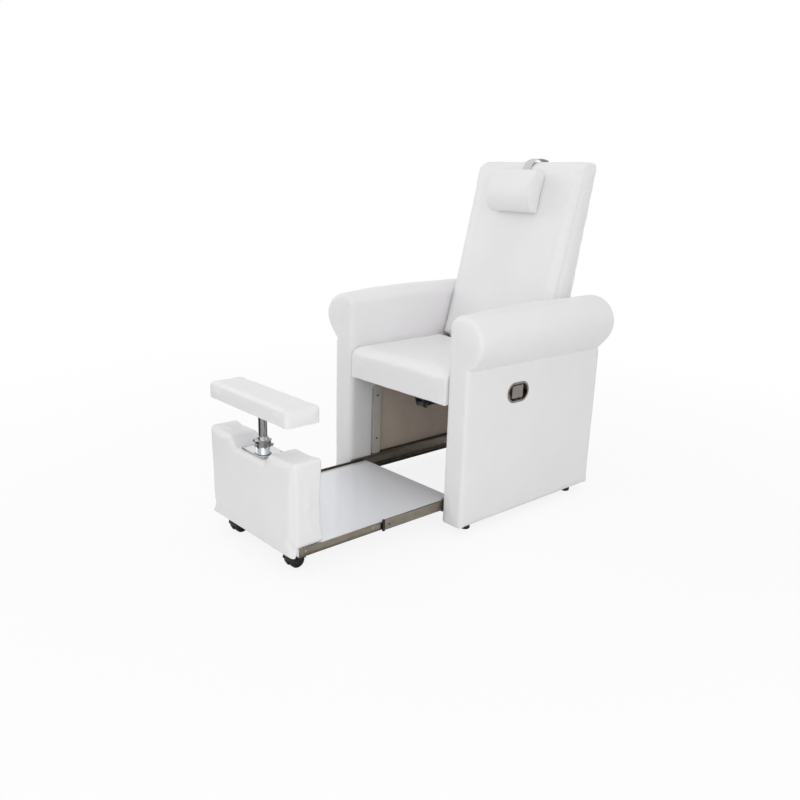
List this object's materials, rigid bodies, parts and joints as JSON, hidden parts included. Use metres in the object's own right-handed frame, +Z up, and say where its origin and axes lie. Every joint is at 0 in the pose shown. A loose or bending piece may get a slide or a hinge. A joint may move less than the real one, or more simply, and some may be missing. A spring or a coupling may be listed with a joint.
{
  "type": "pedicure spa chair",
  "caption": "White padded pedicure chair with rolled arms, reclining back, neck pillow, and a pull-out foot box on ball slides that carries a height-adjustable leg rest.",
  "frame": {"origin": "on the floor, under the middle of the whole chair with its foot box pulled out", "axes": "+Z up; +Y towards the back of the chair; +X towards the sitter's left, the arm with the handle"},
  "size_m": [0.814, 1.3705, 1.2635],
  "materials": {
    "white_leather": "white coated upholstery cloth over foam, with a fine grain",
    "timber": "raw sawn timber and plywood, hidden",
    "dark_lining": "dark brown lining board",
    "grey_batten": "grey painted batten",
    "dark_board": "black-brown board",
    "white_board": "glossy white melamine",
    "zinc_steel": "zinc-plated rolled steel",
    "black_steel": "black powder coat",
    "bright_chrome": "polished chrome",
    "black_plastic": "black moulded plastic"
  },
  "bodies": {
    "base": {"arm_cover_left": "white_leather", "arm_cover_right": "white_leather", "arm_frame_left": "timber", "arm_frame_right": "timber", "arm_roll_left": "white_leather", "arm_roll_right": "white_leather", "inner_lining_left": "dark_lining", "inner_lining_right": "dark_lining", "lining_batten_left": "grey_batten", "lining_batten_right": "grey_batten", "slide_board_left": "dark_board", "slide_board_right": "dark_board", "slide_outer_left": "zinc_steel", "slide_outer_right": "zinc_steel", "batten_screws": "zinc_steel", "foot_front_left": "black_plastic", "foot_back_left": "black_plastic", "foot_front_right": "black_plastic", "foot_back_right": "black_plastic", "rear_panel": "white_leather", "seat_cushion": "white_leather", "seat_board": "timber", "seat_frame": "black_steel", "hinge_pins": "zinc_steel", "release_cup": "bright_chrome"},
    "drawer": {"shelf": "white_board", "footbox_cover": "white_leather", "footbox_carcass": "timber", "post_socket": "bright_chrome", "slide_inner_left": "zinc_steel", "slide_inner_right": "zinc_steel", "caster_plate_left": "zinc_steel", "caster_plate_right": "zinc_steel"},
    "slide_middle_left": {"slide_middle_left": "zinc_steel", "ball_cage_left": "zinc_steel", "slide_buffer_left": "black_plastic"},
    "slide_middle_right": {"slide_middle_right": "zinc_steel", "ball_cage_right": "zinc_steel", "slide_buffer_right": "black_plastic"},
    "leg_rest": {"leg_post": "bright_chrome", "leg_rest_board": "timber", "leg_rest_pad": "white_leather"},
    "clamp_ring": {"clamp_ring": "bright_chrome"},
    "backrest": {"backrest_pad": "white_leather", "backrest_board": "timber", "backrest_rear_panel": "white_leather", "backrest_frame": "black_steel", "headrest_strap": "white_leather"},
    "head_pillow": {"head_pillow": "white_leather"},
    "gas_cylinder": {"gas_cylinder": "black_steel"},
    "gas_rod": {"gas_rod": "bright_chrome"},
    "release_lever": {"release_lever": "black_steel"},
    "release_paddle": {"release_paddle": "bright_chrome"},
    "caster_hood_left": {"caster_hood_left": "black_plastic"},
    "caster_wheel_left_inner": {"caster_wheel_left_inner": "black_plastic"},
    "caster_wheel_left_outer": {"caster_wheel_left_outer": "black_plastic"},
    "caster_hood_right": {"caster_hood_right": "black_plastic"},
    "caster_wheel_right_inner": {"caster_wheel_right_inner": "black_plastic"},
    "caster_wheel_right_outer": {"caster_wheel_right_outer": "black_plastic"}
  },
  "joints": [
    {"name": "drawer_slide", "type": "slide", "parent": "base", "child": "drawer", "axis": [0, 1, 0], "range_m": [0, 0.475]},
    {"name": "slide_middle_left_travel", "type": "slide", "parent": "base", "child": "slide_middle_left", "axis": [0, 1, 0], "range_m": [0, 0.24]},
    {"name": "slide_middle_right_travel", "type": "slide", "parent": "base", "child": "slide_middle_right", "axis": [0, 1, 0], "range_m": [0, 0.24]},
    {"name": "leg_rest_height", "type": "slide", "parent": "drawer", "child": "leg_rest", "axis": [0, 0, 1], "range_m": [-0.078, 0.1]},
    {"name": "clamp_ring_turn", "type": "hinge", "parent": "drawer", "child": "clamp_ring", "pos_m": [0, -0.622, 0.363], "axis": [0, 0, 1], "range_deg": [-270, 0]},
    {"name": "backrest_recline", "type": "hinge", "parent": "base", "child": "backrest", "pos_m": [0, 0.503, 0.5], "axis": [-1, 0, 0], "range_deg": [0, 35]},
    {"name": "gas_cylinder_tilt", "type": "hinge", "parent": "base", "child": "gas_cylinder", "pos_m": [0.085, -0.01, 0.41], "axis": [-1, 0, 0], "range_deg": [0, 3]},
    {"name": "gas_rod_stroke", "type": "slide", "parent": "gas_cylinder", "child": "gas_rod", "axis": [0, 0.9998, 0.0216], "range_m": [-0.06, 0]},
    {"name": "release_paddle_pull", "type": "hinge", "parent": "base", "child": "release_paddle", "pos_m": [0.342, 0.225, 0.478], "axis": [0, 0, 1], "range_deg": [0, 30], "stiffness_Nm_per_rad": 0.3},
    {"name": "release_lever_press", "type": "hinge", "parent": "gas_rod", "child": "release_lever", "pos_m": [0.085, 0.51801, 0.42141], "axis": [-1, 0, 0], "range_deg": [0, 10], "stiffness_Nm_per_rad": 0.1},
    {"name": "head_pillow_slide", "type": "slide", "parent": "backrest", "child": "head_pillow", "axis": [0, 0.2526, 0.9676], "range_m": [-0.06, 0.02]},
    {"name": "caster_swivel_left", "type": "hinge", "parent": "drawer", "child": "caster_hood_left", "pos_m": [-0.165, -0.635, 0.06], "axis": [0, 0, 1], "continuous": true},
    {"name": "caster_wheel_spin_left_inner", "type": "hinge", "parent": "caster_hood_left", "child": "caster_wheel_left_inner", "pos_m": [-0.165, -0.619, 0.025], "axis": [1, 0, 0], "continuous": true},
    {"name": "caster_wheel_spin_left_outer", "type": "hinge", "parent": "caster_hood_left", "child": "caster_wheel_left_outer", "pos_m": [-0.165, -0.619, 0.025], "axis": [1, 0, 0], "continuous": true},
    {"name": "caster_swivel_right", "type": "hinge", "parent": "drawer", "child": "caster_hood_right", "pos_m": [0.165, -0.635, 0.06], "axis": [0, 0, 1], "continuous": true},
    {"name": "caster_wheel_spin_right_inner", "type": "hinge", "parent": "caster_hood_right", "child": "caster_wheel_right_inner", "pos_m": [0.165, -0.619, 0.025], "axis": [1, 0, 0], "continuous": true},
    {"name": "caster_wheel_spin_right_outer", "type": "hinge", "parent": "caster_hood_right", "child": "caster_wheel_right_outer", "pos_m": [0.165, -0.619, 0.025], "axis": [1, 0, 0], "continuous": true}
  ],
  "couplings": [
    {"joint": "slide_middle_left_travel", "follows": "drawer_slide", "ratio": 0.5},
    {"joint": "slide_middle_right_travel", "follows": "drawer_slide", "ratio": 0.5},
    {"joint": "gas_cylinder_tilt", "follows": "backrest_recline", "ratio": 0.0422},
    {"joint": "gas_rod_stroke", "follows": "backrest_recline", "m_per_rad": -0.0857},
    {"joint": "release_lever_press", "follows": "release_paddle_pull", "ratio": 0.3}
  ]
}
